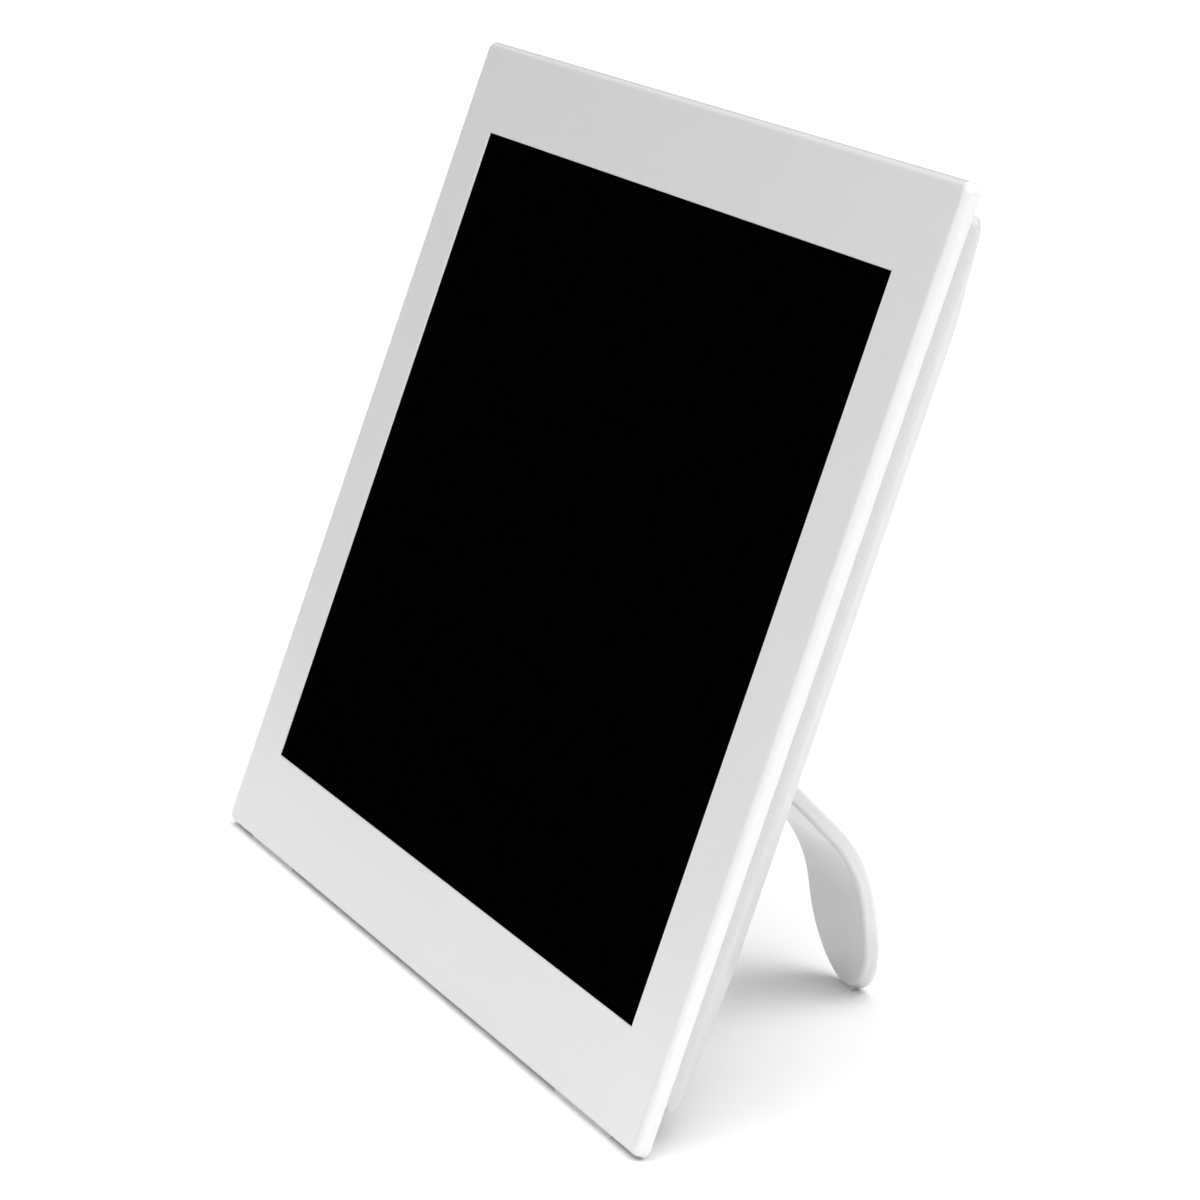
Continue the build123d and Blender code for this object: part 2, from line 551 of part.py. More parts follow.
def rear_cover():
    outside = cover_block(COVER_PROFILE, 0.0)
    bay = Pos(BAY_X - 30, (BAY_BOTTOM + BAY_TOP) / 2)
    bay_h = BAY_TOP - BAY_BOTTOM
    bay_outside = RectangleRounded(60 + 2 * COVER_WALL, bay_h + 2 * COVER_WALL, 4.0 + COVER_WALL)
    bay_wall = slab(bay * bay_outside, BAY_FLOOR - COVER_WALL, 30)
    shell = outside - (cover_block(HOLLOW_PROFILE, COVER_WALL) - bay_wall)
    shell -= slab(bay * RectangleRounded(60, bay_h, 4.0), BAY_FLOOR, 30)

    for x, z in COVER_SCREWS_AT:
        shell += disc(x, z, COLUMN_R, COVER_BOSS_TOP + 0.05, COVER_BACK) & outside
    shell += disc(HUB_X, HUB_Z, HUB_RECESS_R + 2, HUB_PAD_FRONT, COVER_BACK - 0.5) + hub_stops()
    into_wall = COVER_INSIDE + 0.5
    for x in KEYHOLES_X:
        pocket = keyhole_pocket(x, COVER_INSIDE - 3.8, into_wall, 1.2)
        shell += pocket - keyhole_pocket(x, COVER_INSIDE - 2.6, COVER_INSIDE, 0.0)
    for z in KEY_POSTS_Z:
        post = disc(BUTTON_X, z, 2.4, KEY_BOARD_BACK, into_wall)
        shell += post - disc(BUTTON_X, z, PILOT_R, KEY_BOARD_BACK, 14.2)

    cuts = [disc(HUB_X, HUB_Z, HUB_RECESS_R, HUB_FLOOR, COVER_BACK + 5)]
    cuts.append(disc(HUB_X, HUB_Z, HUB_STEM_R + 0.05, 0, COVER_BACK))
    for x, z in COVER_SCREWS_AT:
        cuts.append(disc(x, z, 1.2, 0, COVER_BACK))
        cuts.append(disc(x, z, WELL_R, COVER_SCREW_SEAT, COVER_BACK + 5))
    cuts += [disc(BUTTON_X, z, BUTTON_R + 0.25, COVER_INSIDE - 1, COVER_BACK + 1) for z in BUTTONS_Z]
    for x in KEYHOLES_X:
        shell -= keyhole(x, COVER_INSIDE - 0.5, COVER_BACK + 1)
    for holes in (cuts, port_cuts(), vent_cuts(), grille_cuts()):
        shell -= holes
    return shell


def hub_stops():
    """Two ribs inside the cover that the retainer's tab meets at either end of the swivel."""
    below = plate(HUB_X - TAB_HALF - 1.3, HUB_Z - 14.0, 2.0, 4.0, 11.2, HUB_PAD_FRONT)
    beside = plate(HUB_X + 14.0, HUB_Z + TAB_HALF + 1.3, 4.0, 2.0, 11.2, HUB_PAD_FRONT)
    return below + beside


def port_cuts():
    span = (BAY_X - 1, BAY_X + COVER_WALL + 0.2)
    return [along_x(DC_Z, PORT_DEPTH, 2.6, *span), along_x(AUDIO_Z, PORT_DEPTH, 2.5, *span),
            port_slot(USB_Z, USB_DEPTH, 9.6, 3.8, 1.7, *span),
            port_slot(CARD_Z, CARD_DEPTH, 25.4, 3.0, 0.5, *span)]


def vent_cuts():
    """Cooling slots in two rows above the main board: (first slot's place, how many)."""
    slot, pitch = Rot(Z=90) * SlotOverall(13.0, 1.8), 7.0
    return [slab(Pos(x + pitch * i, z) * slot, COVER_INSIDE - 1, COVER_BACK + 1)
            for x, z, count in ((-88.0, 140.0, 3), (-35.0, 134.0, 11)) for i in range(count)]


def grille_cuts():
    """Small round holes over each speaker, in staggered rows."""
    holes = []
    for x in SPEAKERS_X:
        for row in (-1, 0, 1):
            count = 7 - abs(row)
            for i in range(count):
                at_x = x + (i - (count - 1) / 2) * 3.0
                holes.append(disc(at_x, SPEAKER_Z + row * 2.6, 0.8, COVER_INSIDE - 1, COVER_BACK + 1))
    return holes


def cover_screws():
    return group(screw(x, z, COVER_SCREW_SEAT, 2.0, 1.0, 2.1, 1.3) for x, z in COVER_SCREWS_AT)


def screw_plugs():
    """Caps pressed into the cover's screw wells, flush with its flanks."""
    outside, inner_face = cover_block(COVER_PROFILE, 0.0), COVER_SCREW_SEAT + 1.35
    return group(disc(x, z, WELL_R, inner_face, COVER_BACK) & outside for x, z in COVER_SCREWS_AT)


# ---------------------------------------------------------------- feet
def grip_block(x, low_front, low_back):
    """A block let into the bezel's bottom edge, reaching down to a height at its front and back."""
    side = Polyline((GRIP_FRONT, GRIP_DEEP), (GRIP_BACK, GRIP_DEEP), (GRIP_BACK, low_back),
                    (GRIP_FRONT, low_front), close=True)
    return across(make_face(side), x - GRIP_LENGTH / 2, GRIP_LENGTH)


def grip_strips():
    """Rubber strips whose undersides are bevelled to lie flat on the table."""
    return group(grip_block(x, ground_z(GRIP_FRONT), ground_z(GRIP_BACK)) for x in GRIPS_X)


def leg_side(extra):
    """Centre line of the blade in (depth, height), from the hub down past the table."""
    knee = Vector(*LEG_KNEE)
    hub = Vector(HUB_FLOOR + 1.0, HUB_Z + 0.8)
    tip = Vector(LEG_TIP_DEPTH, ground_z(LEG_TIP_DEPTH))
    end = tip + (tip - knee).normalized() * extra
    return FilletPolyline(hub, knee, end, radius=LEG_BEND)


def leg_widths():
    """Plan outline of the blade: waisted behind the hub, widest where it turns down."""
    start, neck, swell, wide, past_tip = HUB_FLOOR, 27.0, 46.0, 60.0, 95.0
    root = LEG_NECK + 1.2
    edge = Spline((root, start), (LEG_NECK, neck), (LEG_NECK + 2.6, swell), (LEG_WIDE, wide),
                  tangents=[(-0.15, 1), (0, 1)])
    left = mirror(edge, Plane.YZ)
    back = Polyline((LEG_WIDE, wide), (LEG_WIDE, past_tip), (-LEG_WIDE, past_tip), (-LEG_WIDE, wide))
    front = Line((-root, start), (root, start))
    return make_face(edge + back + left + front)


def swivel_leg():
    """Hub disc, stem and the curved blade, moulded as one piece."""
    blade = across(trace(leg_side(8.0), line_width=LEG_T), HUB_X - 30, 60)
    plan = extrude(Pos(HUB_X, 0, -20) * leg_widths(), amount=140)
    tip_z = ground_z(LEG_TIP_DEPTH) + LEG_LIFT
    round_end = Pos(HUB_X, tip_z + LEG_WIDE) * Circle(LEG_WIDE)
    above = Pos(HUB_X, tip_z + LEG_WIDE + 50) * Rectangle(2 * LEG_WIDE, 100)
    blade &= plan
    blade &= slab(round_end + above, 0, 100)
    blade = fillet(blade.edges(), LEG_EDGE)
    hub = disc(HUB_X, HUB_Z, HUB_DISC_R, HUB_FLOOR + 0.3, COVER_BACK + 0.4)
    hub = fillet(hub.faces().sort_by(Axis.Y)[-1].edges(), 0.8)
    stem = disc(HUB_X, HUB_Z, HUB_STEM_R, RETAINER_BACK, HUB_FLOOR + 0.5)
    leg = hub + stem + (blade - disc(HUB_X, HUB_Z, 40, 0, HUB_FLOOR + 0.4))
    leg -= disc(HUB_X, HUB_Z, 1.52, RETAINER_BACK, HUB_FLOOR + 1.0)
    leg -= leg_pad_space()
    return leg


def leg_pad_space():
    """The slot in the blade's tip that holds the rubber insert."""
    low = ground_z(LEG_TIP_DEPTH)
    return Pos(HUB_X, LEG_TIP_DEPTH - 0.5, low) * Box(PAD_WIDTH, PAD_T, 2 * PAD_REACH)


def leg_tip_pad():
    """Rubber insert in the tip, its underside flat on the table."""
    near, beyond = LEG_TIP_DEPTH - 10, LEG_TIP_DEPTH + 10
    side = Polyline((near, ground_z(near)), (beyond, ground_z(beyond)), (beyond, 60), (near, 60), close=True)
    return leg_pad_space() & across(make_face(side), HUB_X - PAD_WIDTH, 2 * PAD_WIDTH)


def hub_retainer():
    """Steel washer that keeps the stem in the cover, with a tab for the end stops."""
    washer = disc(HUB_X, HUB_Z, 10.5, RETAINER_FRONT, RETAINER_BACK)
    tab = plate(HUB_X, HUB_Z - 11.5, 2 * TAB_HALF, 8.0, RETAINER_FRONT, RETAINER_BACK, 1.0)
    return washer + tab - disc(HUB_X, HUB_Z, 1.6, RETAINER_FRONT, RETAINER_BACK)


def hub_friction_washer():
    back = HUB_PAD_FRONT - 0.05
    washer = disc(HUB_X, HUB_Z, 9.5, RETAINER_BACK, back)
    return washer - disc(HUB_X, HUB_Z, HUB_STEM_R + 0.3, RETAINER_BACK, back)


def hub_screw():
    head = disc(HUB_X, HUB_Z, 2.8, RETAINER_FRONT - 1.6, RETAINER_FRONT)
    head = fillet(head.faces().sort_by(Axis.Y)[0].edges(), 0.6)
    return head + disc(HUB_X, HUB_Z, 1.5, RETAINER_FRONT, HUB_FLOOR + 0.8)


# ---------------------------------------------------------------- assembly
nodes = {
    "front_bezel": front_bezel(),
    "cover_lens": cover_lens(),
    "lens_tape": lens_tape(),
    "lcd_gasket": lcd_gasket(),
    "lcd_front_frame": lcd_front_frame(),
    "lcd_glass": lcd_sheet(226.0, 146.0, 0.35, 1.35),
    "optical_films": lcd_sheet(225.0, 144.0, 1.4, 1.7),
    "light_guide": light_guide(),
    "led_strip": led_strip(),
    "reflector_sheet": lcd_sheet(225.0, 145.0, 2.4, 2.55),
    "lcd_back_plate": lcd_sheet(228.6, 148.2, 2.6, 3.0),
    "lcd_driver_board": lcd_driver_board(),
    "lcd_driver_chips": lcd_driver_chips(),
    "display_flex": display_flex(),
    "chassis_plate": chassis_plate(),
    "chassis_screws": chassis_screws(),
    "board_standoffs": board_standoffs(),
    "board_screws": board_screws(),
    "main_board": main_board(),
    "processor": on_board(-58, 92, 17, 17, 1.4),
    "heat_spreader": heat_spreader(),
    "memory_chips": memory_chips(),
    "power_inductors": power_inductors(),
    "capacitors": capacitors(),
    "wifi_module": wifi_module(),
    "wifi_antenna": wifi_antenna(),
    "wire_sockets": wire_sockets(),
    "flex_connector": flex_connector(),
    "coin_cell": coin_cell(),
    "coin_cell_holder": coin_cell_holder(),
    "dc_jack": dc_jack(),
    "audio_jack": audio_jack(),
    "usb_port": usb_port(),
    "card_slot": card_slot(),
    "key_board": key_board(),
    "key_switches": key_switches(),
    "key_screws": key_screws(),
    "left_speaker": speaker(SPEAKERS_X[0]),
    "right_speaker": speaker(SPEAKERS_X[1]),
    "speaker_gaskets": speaker_gaskets(),
    "left_speaker_cable": left_speaker_cable(),
    "right_speaker_cable": right_speaker_cable(),
    "key_cable": key_cable(),
    "backlight_cable": backlight_cable(),
    "antenna_cable": antenna_cable(),
    "rear_cover": rear_cover(),
    "cover_screws": cover_screws(),
    "screw_plugs": screw_plugs(),
    "grip_strips": grip_strips(),
    "swivel_leg": swivel_leg(),
    "leg_tip_pad": leg_tip_pad(),
    "hub_retainer": hub_retainer(),
    "hub_friction_washer": hub_friction_washer(),
    "hub_screw": hub_screw(),
}
for name, z in zip(BUTTON_NAMES, BUTTONS_Z):
    is_power = name == "power_button"
    nodes[name] = button(z, BUTTON_R, 1.2 if is_power else 0.8)

os.makedirs("parts", exist_ok=True)
tilted = {name: Rot(X=-TILT) * shape for name, shape in nodes.items()}
extent = Compound(children=[Compound(shape.solids()) for shape in tilted.values()]).bounding_box()
to_origin = Pos(-extent.center().X, -extent.center().Y, -extent.min.Z)
for name, shape in tilted.items():
    export_step(to_origin * shape, f"parts/{name}.step")
print("moved by", to_origin.position, "size", extent.size)
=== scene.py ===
import json
from math import cos, radians, sin

import bpy
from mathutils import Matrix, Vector


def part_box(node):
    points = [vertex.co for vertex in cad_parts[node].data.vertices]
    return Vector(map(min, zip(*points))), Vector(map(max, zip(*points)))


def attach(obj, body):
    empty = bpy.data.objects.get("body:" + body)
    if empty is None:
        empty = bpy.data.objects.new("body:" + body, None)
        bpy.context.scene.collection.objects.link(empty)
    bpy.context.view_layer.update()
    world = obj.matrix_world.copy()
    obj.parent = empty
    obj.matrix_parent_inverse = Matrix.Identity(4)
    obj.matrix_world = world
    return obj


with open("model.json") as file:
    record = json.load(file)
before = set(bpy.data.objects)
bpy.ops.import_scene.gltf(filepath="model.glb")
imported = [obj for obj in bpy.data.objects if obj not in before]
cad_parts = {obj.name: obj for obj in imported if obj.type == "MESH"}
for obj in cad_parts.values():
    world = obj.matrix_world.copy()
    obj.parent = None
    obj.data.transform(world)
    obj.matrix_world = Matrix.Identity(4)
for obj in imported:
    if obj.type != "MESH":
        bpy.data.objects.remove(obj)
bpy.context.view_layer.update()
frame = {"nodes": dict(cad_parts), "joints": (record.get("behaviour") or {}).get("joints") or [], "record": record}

# Looks of a white digital photo frame on a curved swivel leg: a material for every CAD piece, raised
# symbols on the buttons and beside the sockets, and a pale studio. Everything is in metres.

MM = 0.001
NODES = frame["nodes"]
RECORD = frame["record"]

# ---------------------------------------------------------------- directions on the leaning frame
SWIVEL = next(joint for joint in frame["joints"] if joint["name"] == "leg_swivel")
BACK = -Vector(SWIVEL["axis"]).normalized()          # square to the screen, out of the back
RIGHT = Vector((1, 0, 0))
UPHILL = RIGHT.cross(BACK)                           # up along the leaning plane


def farthest(node, direction):
    """How far a node reaches along a direction, measured from the origin."""
    return max(vertex.co.dot(direction) for vertex in NODES[node].data.vertices)


def middle(node):
    low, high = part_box(node)
    return (low + high) / 2


def mount_place(name):
    return Vector(next(mount["pos_m"] for mount in RECORD["mounts"] if mount["name"] == name))


def at_depth(point, depth):
    """The point moved square to the screen until it lies at a depth along BACK."""
    return point + BACK * (depth - point.dot(BACK))


# ---------------------------------------------------------------- materials
def new_material(name):
    made = bpy.data.materials.new(name)
    made.use_nodes = True
    tree = made.node_tree
    shader = tree.nodes["Principled BSDF"]
    place = tree.nodes.new("ShaderNodeTexCoord").outputs["Object"]
    return made, tree, shader, place


def noise(tree, place, size, detail=2.0, squeeze=None):
    """A noise whose lumps are about size metres across, divided by squeeze along each axis."""
    if squeeze:
        scaled = tree.nodes.new("ShaderNodeMapping")
        scaled.inputs["Scale"].default_value = squeeze
        tree.links.new(place, scaled.inputs["Vector"])
        place = scaled.outputs["Vector"]
    lumps = tree.nodes.new("ShaderNodeTexNoise")
    lumps.inputs["Scale"].default_value = 1.0 / size
    lumps.inputs["Detail"].default_value = detail
    tree.links.new(place, lumps.inputs["Vector"])
    return lumps.outputs["Fac"]


def spread(tree, value, low, high, wide=0.25):
    """A noise value, spread over the range from low to high."""
    ranged = tree.nodes.new("ShaderNodeMapRange")
    ranged.inputs["From Min"].default_value = 0.5 - wide
    ranged.inputs["From Max"].default_value = 0.5 + wide
    ranged.inputs["To Min"].default_value = low
    ranged.inputs["To Max"].default_value = high
    tree.links.new(value, ranged.inputs["Value"])
    return ranged.outputs["Result"]


def two_colours(tree, value, first, second):
    mixed = tree.nodes.new("ShaderNodeMix")
    mixed.data_type = "RGBA"
    mixed.inputs["A"].default_value = (*first, 1)
    mixed.inputs["B"].default_value = (*second, 1)
    tree.links.new(value, mixed.inputs["Factor"])
    return mixed.outputs["Result"]


def relief(tree, shader, layers):
    """Bumps laid over each other; each layer is (height value, depth in metres)."""
    normal = None
    for height, depth in layers:
        bump = tree.nodes.new("ShaderNodeBump")
        bump.inputs["Strength"].default_value = 1.0
        bump.inputs["Distance"].default_value = depth
        tree.links.new(height, bump.inputs["Height"])
        if normal:
            tree.links.new(normal, bump.inputs["Normal"])
        normal = bump.outputs["Normal"]
    tree.links.new(normal, shader.inputs["Normal"])


def shaded(colour, factor):
    return tuple(min(channel * factor, 1.0) for channel in colour)


def moulded(name, colour, rough, grain=0.35 * MM, depth=0.004 * MM, shine=0.5, tint=0.015, wave=0.0):
    """Moulded plastic, rubber or card: a fine grain, faint cloudiness and uneven gloss.

    The grain has a size and a depth, and wave is the height of a slow unevenness of the surface.
    """
    made, tree, shader, place = new_material(name)
    cloud = spread(tree, noise(tree, place, 0.045, 3.0), 0.0, 1.0)
    colours = two_colours(tree, cloud, shaded(colour, 1 - tint), shaded(colour, 1 + tint))
    tree.links.new(colours, shader.inputs["Base Color"])
    uneven = spread(tree, noise(tree, place, 0.008, 4.0), rough * 0.88, rough * 1.12)
    tree.links.new(uneven, shader.inputs["Roughness"])
    layers = [(noise(tree, place, grain, 3.0), depth)]
    if wave:
        layers.append((noise(tree, place, 0.03, 1.0), wave))
    relief(tree, shader, layers)
    shader.inputs["Specular IOR Level"].default_value = shine
    return made


def metal(name, colour, rough, squeeze=(1, 1, 1)):
    """Rolled, plated or turned metal: fine lines along the axis squeezed least, and uneven gloss."""
    made, tree, shader, place = new_material(name)
    cloud = spread(tree, noise(tree, place, 0.006, 3.0), 0.0, 1.0)
    colours = two_colours(tree, cloud, shaded(colour, 0.92), shaded(colour, 1.04))
    tree.links.new(colours, shader.inputs["Base Color"])
    lines = noise(tree, place, 0.3 * MM, 3.0, squeeze)
    tree.links.new(spread(tree, lines, rough * 0.8, rough * 1.25), shader.inputs["Roughness"])
    relief(tree, shader, [(lines, 0.002 * MM)])
    shader.inputs["Metallic"].default_value = 1.0
    return made


def circuit_board(name):
    """Green lacquered board with the tracks showing through as slightly raised lighter lines."""
    made, tree, shader, place = new_material(name)
    tracks = tree.nodes.new("ShaderNodeTexBrick")
    tracks.inputs["Scale"].default_value = 1.0
    tracks.inputs["Brick Width"].default_value = 4.0 * MM
    tracks.inputs["Row Height"].default_value = 1.1 * MM
    tracks.inputs["Mortar Size"].default_value = 0.16 * MM
    tracks.inputs["Color1"].default_value = (0, 0, 0, 1)
    tracks.inputs["Color2"].default_value = (0, 0, 0, 1)
    tracks.inputs["Mortar"].default_value = (1, 1, 1, 1)
    flat = tree.nodes.new("ShaderNodeMapping")
    flat.inputs["Rotation"].default_value = (radians(90), 0, 0)
    tree.links.new(place, flat.inputs["Vector"])
    tree.links.new(flat.outputs["Vector"], tracks.inputs["Vector"])
    colours = two_colours(tree, tracks.outputs["Color"], (0.012, 0.11, 0.045), (0.03, 0.20, 0.08))
    tree.links.new(colours, shader.inputs["Base Color"])
    relief(tree, shader, [(tracks.outputs["Color"], 0.03 * MM)])
    shader.inputs["Roughness"].default_value = 0.3
    return made


def screen_lens(name):
    """Black cover lens with no reflection of its own, faintly dusty."""
    made, tree, shader, place = new_material(name)
    dust = spread(tree, noise(tree, place, 0.004, 5.0), 0.0, 1.0, 0.35)
    colours = two_colours(tree, dust, (0.0003, 0.0003, 0.0004), (0.0007, 0.0007, 0.0008))
    tree.links.new(colours, shader.inputs["Base Color"])
    wiped = spread(tree, noise(tree, place, 0.02, 4.0), 0.05, 0.09)
    tree.links.new(wiped, shader.inputs["Roughness"])
    relief(tree, shader, [(noise(tree, place, 0.05, 1.0), 0.01 * MM)])
    shader.inputs["Specular IOR Level"].default_value = 0.0
    shader.inputs["IOR"].default_value = 1.01
    return made


def clear_acrylic(name):
    made, tree, shader, place = new_material(name)
    etched = noise(tree, place, 0.6 * MM, 2.0)
    colours = two_colours(tree, spread(tree, etched, 0, 1), (0.80, 0.84, 0.84), (0.90, 0.93, 0.93))
    tree.links.new(colours, shader.inputs["Base Color"])
    relief(tree, shader, [(etched, 0.01 * MM)])
    shader.inputs["Roughness"].default_value = 0.12
    shader.inputs["Transmission Weight"].default_value = 0.6
    shader.inputs["IOR"].default_value = 1.49
    return made


WHITE = (0.80, 0.80, 0.80)
MATERIALS = {
    "white_plastic": moulded("white_plastic", WHITE, 0.16, 0.5 * MM, 0.0006 * MM, 0.8, 0.006, 0.006 * MM),
    "button_plastic": moulded("button_plastic", (0.70, 0.70, 0.70), 0.38, 0.25 * MM, 0.006 * MM),
    "screen_lens": screen_lens("screen_lens"),
    "adhesive_tape": moulded("adhesive_tape", (0.02, 0.02, 0.02), 0.6, 0.8 * MM, 0.02 * MM),
    "foam": moulded("foam", (0.03, 0.03, 0.03), 0.9, 0.3 * MM, 0.08 * MM, 0.2, 0.15),
    "sheet_steel": metal("sheet_steel", (0.55, 0.55, 0.56), 0.32, (1, 12, 12)),
    "sheet_aluminium": metal("sheet_aluminium", (0.75, 0.75, 0.76), 0.38, (12, 12, 1)),
    "lcd_glass": moulded("lcd_glass", (0.01, 0.01, 0.012), 0.08, 2 * MM, 0.0005 * MM),
    "films": moulded("films", (0.85, 0.85, 0.86), 0.35, 1.0 * MM, 0.003 * MM),
    "acrylic": clear_acrylic("acrylic"),
    "led_board": moulded("led_board", (0.85, 0.84, 0.74), 0.4, 0.6 * MM, 0.01 * MM),
    "circuit_board": circuit_board("circuit_board"),
    "chip_black": moulded("chip_black", (0.025, 0.025, 0.027), 0.5, 0.12 * MM, 0.008 * MM, 0.5, 0.1),
    "chip_grey": moulded("chip_grey", (0.13, 0.13, 0.135), 0.6, 0.15 * MM, 0.015 * MM, 0.4, 0.12),
    "capacitor_can": metal("capacitor_can", (0.78, 0.78, 0.79), 0.25),
    "flex_film": moulded("flex_film", (0.42, 0.18, 0.03), 0.3, 0.8 * MM, 0.01 * MM, 0.5, 0.1),
    "brass": metal("brass", (0.76, 0.58, 0.26), 0.28, (14, 14, 14)),
    "screw_steel": metal("screw_steel", (0.58, 0.58, 0.60), 0.3, (6, 6, 6)),
    "screw_dark": metal("screw_dark", (0.06, 0.06, 0.065), 0.42, (6, 6, 6)),
    "socket_plastic": moulded("socket_plastic", (0.80, 0.77, 0.66), 0.45, 0.3 * MM, 0.008 * MM),
    "port_black": moulded("port_black", (0.02, 0.02, 0.02), 0.35, 0.3 * MM, 0.006 * MM),
    "cell_steel": metal("cell_steel", (0.66, 0.66, 0.66), 0.22, (1, 1, 20)),
    "speaker_black": moulded("speaker_black", (0.02, 0.02, 0.021), 0.7, 0.4 * MM, 0.03 * MM, 0.4, 0.2),
    "cable_sheath": moulded("cable_sheath", (0.03, 0.03, 0.03), 0.5, 0.6 * MM, 0.012 * MM),
    "pale_rubber": moulded("pale_rubber", (0.76, 0.76, 0.76), 0.7, 0.4 * MM, 0.02 * MM, 0.3, 0.03),
    "nylon": moulded("nylon", (0.78, 0.77, 0.72), 0.5, 0.5 * MM, 0.008 * MM),
}
# A rougher copy of the white plastic for the rear cover and screw plugs, at 0.88 of its brightness: the darker
# colour is painted shade.
COVER_SHADED_WHITE = moulded("cover_plastic_painted_shade", shaded(WHITE, 0.88), 0.34,
                      0.22 * MM, 0.006 * MM, 0.5, 0.008, 0.004 * MM)
SYMBOL_GREY = moulded("symbol_grey", (0.16, 0.16, 0.17), 0.45, 0.3 * MM, 0.004 * MM)


def paint_nodes():
    """Gives every CAD node the material of its slot in the record, except the rear cover and screw plugs, which
    get a darker copy of the white plastic as painted shade.
    """
    slots = {part["node"]: part["material_slot"] for part in RECORD["subparts"]}
    for name, node in NODES.items():
        # The rear cover and screw plugs take the darker copy of the white plastic, which is painted shade.
        finish = COVER_SHADED_WHITE if name in ("rear_cover", "screw_plugs") else MATERIALS[slots[name]]
        node.data.materials.clear()
        node.data.materials.append(finish)


# ---------------------------------------------------------------- raised symbols
LINE_R = 0.16 * MM                    # radius of a symbol's bead, half sunk in the surface
KEY_SYMBOL, PORT_SYMBOL = 1.5 * MM, 1.8 * MM    # half the size of a symbol on a button, by a socket
PORT_SYMBOL_GAP = 2.5 * MM            # the symbols' middles, inwards from the headphone socket's


def arc(turn_from, turn_to, radius=1.0, across=0.0, up=0.0, steps=18):
    """Points of an arc in symbol units, turning in degrees anticlockwise from the right."""
    turns = [radians(turn_from + (turn_to - turn_from) * i / steps) for i in range(steps + 1)]
    return [(across + radius * cos(turn), up + radius * sin(turn)) for turn in turns]


def box_outline(half_w, half_h):
    return [(-half_w, -half_h), (half_w, -half_h), (half_w, half_h), (-half_w, half_h),
            (-half_w, -half_h)]


EAR_PAD = [(0.95, -0.2), (0.95, -0.8), (0.6, -0.8), (0.6, -0.2), (0.95, -0.2)]
# Each symbol is a list of strokes, in units of half its size.
SYMBOLS = {
    "enter_button": [arc(0, 360, 0.75)],
    "down_button": [[(-0.8, 0.45), (0, -0.55), (0.8, 0.45)]],
    "up_button": [[(-0.8, -0.45), (0, 0.55), (0.8, -0.45)]],
    "back_button": [[(-0.35, 0.85), (-0.9, 0.35), (-0.35, -0.15)],
                    [(-0.9, 0.35), (0.3, 0.35)] + arc(90, -90, 0.5, 0.3, -0.15) + [(-0.5, -0.65)]],
    "menu_button": [[(-0.8, row), (0.8, row)] for row in (-0.6, 0.0, 0.6)],
    "power_button": [arc(120, 420, 0.8), [(0, 0.15), (0, 1.05)]],
    "power_inlet": [arc(0, 360, 0.9), arc(0, 360, 0.25)],
    "headphone_socket": [arc(-20, 200, 0.85)] + [
        [(side * across, up) for across, up in EAR_PAD] for side in (-1, 1)],
    "usb_socket": [box_outline(0.95, 0.45), [(-0.55, 0.0), (0.55, 0.0)]],
    "memory_card_slot": [[(-0.7, -0.95), (0.7, -0.95), (0.7, 0.95), (-0.2, 0.95), (-0.7, 0.45),
                          (-0.7, -0.95)]],
}


def symbol(name, centre, body, size):
    """A symbol of raised beads on a surface that faces out of the back, read from behind."""
    line = bpy.data.curves.new(name, "CURVE")
    line.dimensions = "3D"
    line.bevel_depth = LINE_R
    line.bevel_resolution = 3
    line.use_fill_caps = True
    for stroke in SYMBOLS[name]:
        spline = line.splines.new("POLY")
        closed = stroke[0] == stroke[-1]
        points = stroke[:-1] if closed else stroke
        spline.points.add(len(points) - 1)
        spline.use_cyclic_u = closed
        for point, (across, up) in zip(spline.points, points):
            place = centre - RIGHT * across * size + UPHILL * up * size
            point.co = (*place, 1)
    piece = bpy.data.objects.new("symbol_" + name, line)
    bpy.context.scene.collection.objects.link(piece)
    line.materials.append(SYMBOL_GREY)
    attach(piece, body)
    return piece


def add_symbols():
    for name in SYMBOLS:
        if name.endswith("_button"):
            centre = at_depth(middle(name), farthest(name, BACK))
            symbol(name, centre, name, KEY_SYMBOL)
    back_face = farthest("rear_cover", BACK)
    symbols_x = mount_place("headphone_socket").x + PORT_SYMBOL_GAP
    for name in ("power_inlet", "headphone_socket", "usb_socket", "memory_card_slot"):
        centre = at_depth(mount_place(name), back_face)
        centre.x = symbols_x
        symbol(name, centre, "frame", PORT_SYMBOL)


# ---------------------------------------------------------------- studio
FLOOR_HALF = 30.0
FLOOR_WHITE = 0.93
# The sky's brightness at heights from the horizon, 0, to overhead, 1.
SKY = ((0.0, 0.27), (0.05, 0.22), (0.12, 0.0), (0.26, 0.0), (0.42, 0.30), (1.0, 0.65))
KEY_TOWARDS, KEY_POWER, KEY_SPREAD = (0.34, 0.07, 0.94), 3.0, 80.0
FILL_PLACE, FILL_SIZE, FILL_POWER = (0.46, -0.34, 0.02), 0.30, 0.45


def studio_floor():
    mesh = bpy.data.meshes.new("studio_floor")
    corners = [(x, y, 0) for x in (-FLOOR_HALF, FLOOR_HALF) for y in (-FLOOR_HALF, FLOOR_HALF)]
    mesh.from_pydata(corners, [], [(0, 2, 3, 1)])
    floor = bpy.data.objects.new("studio_floor", mesh)
    bpy.context.scene.collection.objects.link(floor)
    paper = moulded("studio_paper", (FLOOR_WHITE,) * 3, 0.9, 1.0 * MM, 0.003 * MM, 0.1, 0.003)
    mesh.materials.append(paper)


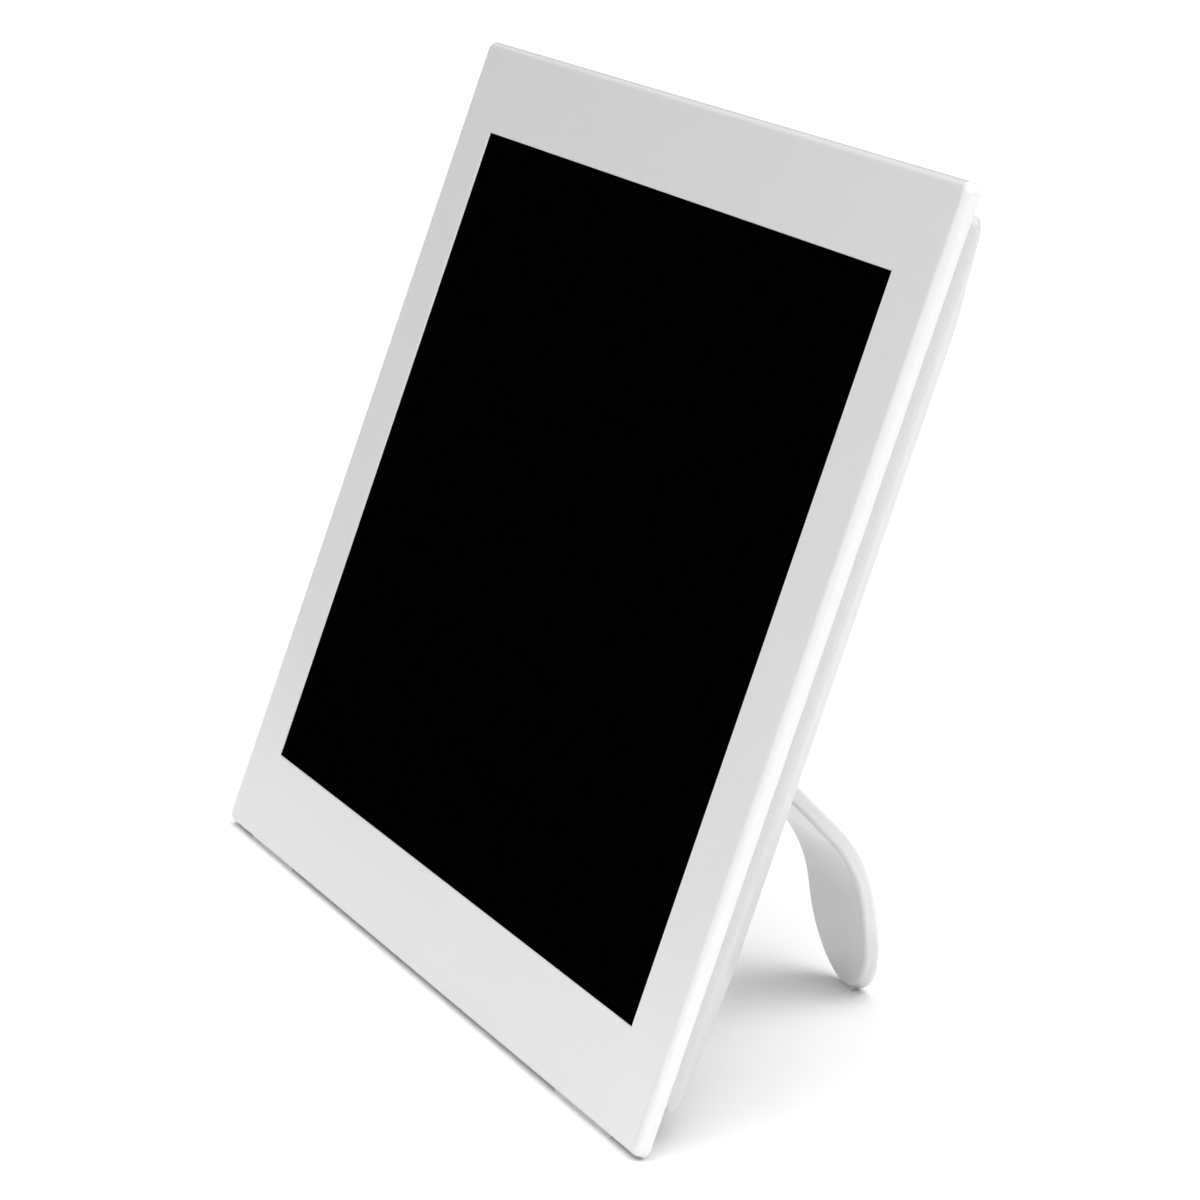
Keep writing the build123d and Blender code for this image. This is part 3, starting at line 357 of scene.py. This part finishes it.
def studio_sky():
    world = bpy.data.worlds.new("studio_sky")
    world.use_nodes = True
    bpy.context.scene.world = world
    tree = world.node_tree
    direction = tree.nodes.new("ShaderNodeTexCoord").outputs["Generated"]
    split = tree.nodes.new("ShaderNodeSeparateXYZ")
    tree.links.new(direction, split.inputs["Vector"])
    ramp = tree.nodes.new("ShaderNodeValToRGB")
    tree.links.new(split.outputs["Z"], ramp.inputs["Fac"])
    stops = ramp.color_ramp.elements
    while len(stops) < len(SKY):
        stops.new(0.5)
    for stop, (height, level) in zip(stops, SKY):
        stop.position = height
        stop.color = (level, level, level, 1)
    sky = tree.nodes["Background"]
    tree.links.new(ramp.outputs["Color"], sky.inputs["Color"])
    sky.inputs["Strength"].default_value = 1.0


def sun(name, towards, power, spread_degrees):
    lamp = bpy.data.lights.new(name, "SUN")
    lamp.energy = power
    lamp.angle = radians(spread_degrees)
    piece = bpy.data.objects.new(name, lamp)
    piece.rotation_euler = Vector(towards).to_track_quat("Z", "Y").to_euler()
    bpy.context.scene.collection.objects.link(piece)


def fill():
    """Soft light low in front of the right corner, standing for what the table throws back."""
    lamp = bpy.data.lights.new("fill", "AREA")
    lamp.shape = "DISK"
    lamp.size = FILL_SIZE
    lamp.energy = FILL_POWER
    piece = bpy.data.objects.new("fill", lamp)
    piece.location = FILL_PLACE
    away = Vector(FILL_PLACE) - middle("front_bezel")
    piece.rotation_euler = away.to_track_quat("Z", "Y").to_euler()
    piece.visible_camera = False
    piece.visible_glossy = False
    bpy.context.scene.collection.objects.link(piece)


# The camera stands to the right of the frame and a little above it.
AZIMUTH, ELEVATION, DISTANCE = radians(70.404), radians(11.641), 1.05
FOCAL_LENGTH, SENSOR_WIDTH = 159.63, 36.0
AIM_FROM_BEZEL = Vector((-0.0006, 0.0083, -0.0126))  # the point looked at, from the bezel's middle


def camera():
    """Long lens, held level with the horizon."""
    lens = bpy.data.cameras.new("camera")
    lens.sensor_width = SENSOR_WIDTH
    lens.lens = FOCAL_LENGTH
    lens.clip_end = 100.0
    view = bpy.data.objects.new("camera", lens)
    level = Vector((-sin(AZIMUTH), cos(AZIMUTH), 0))
    towards = level * cos(ELEVATION) - Vector((0, 0, sin(ELEVATION)))
    aim = middle("front_bezel") + AIM_FROM_BEZEL
    view.location = aim - towards * DISTANCE
    view.rotation_euler = towards.to_track_quat("-Z", "Y").to_euler()
    bpy.context.scene.collection.objects.link(view)
    bpy.context.scene.camera = view


def studio():
    studio_floor()
    studio_sky()
    sun("key", KEY_TOWARDS, KEY_POWER, KEY_SPREAD)
    fill()
    scene = bpy.context.scene
    scene.view_settings.view_transform = "Standard"
    scene.view_settings.look = "None"


camera()
paint_nodes()
add_symbols()
studio()
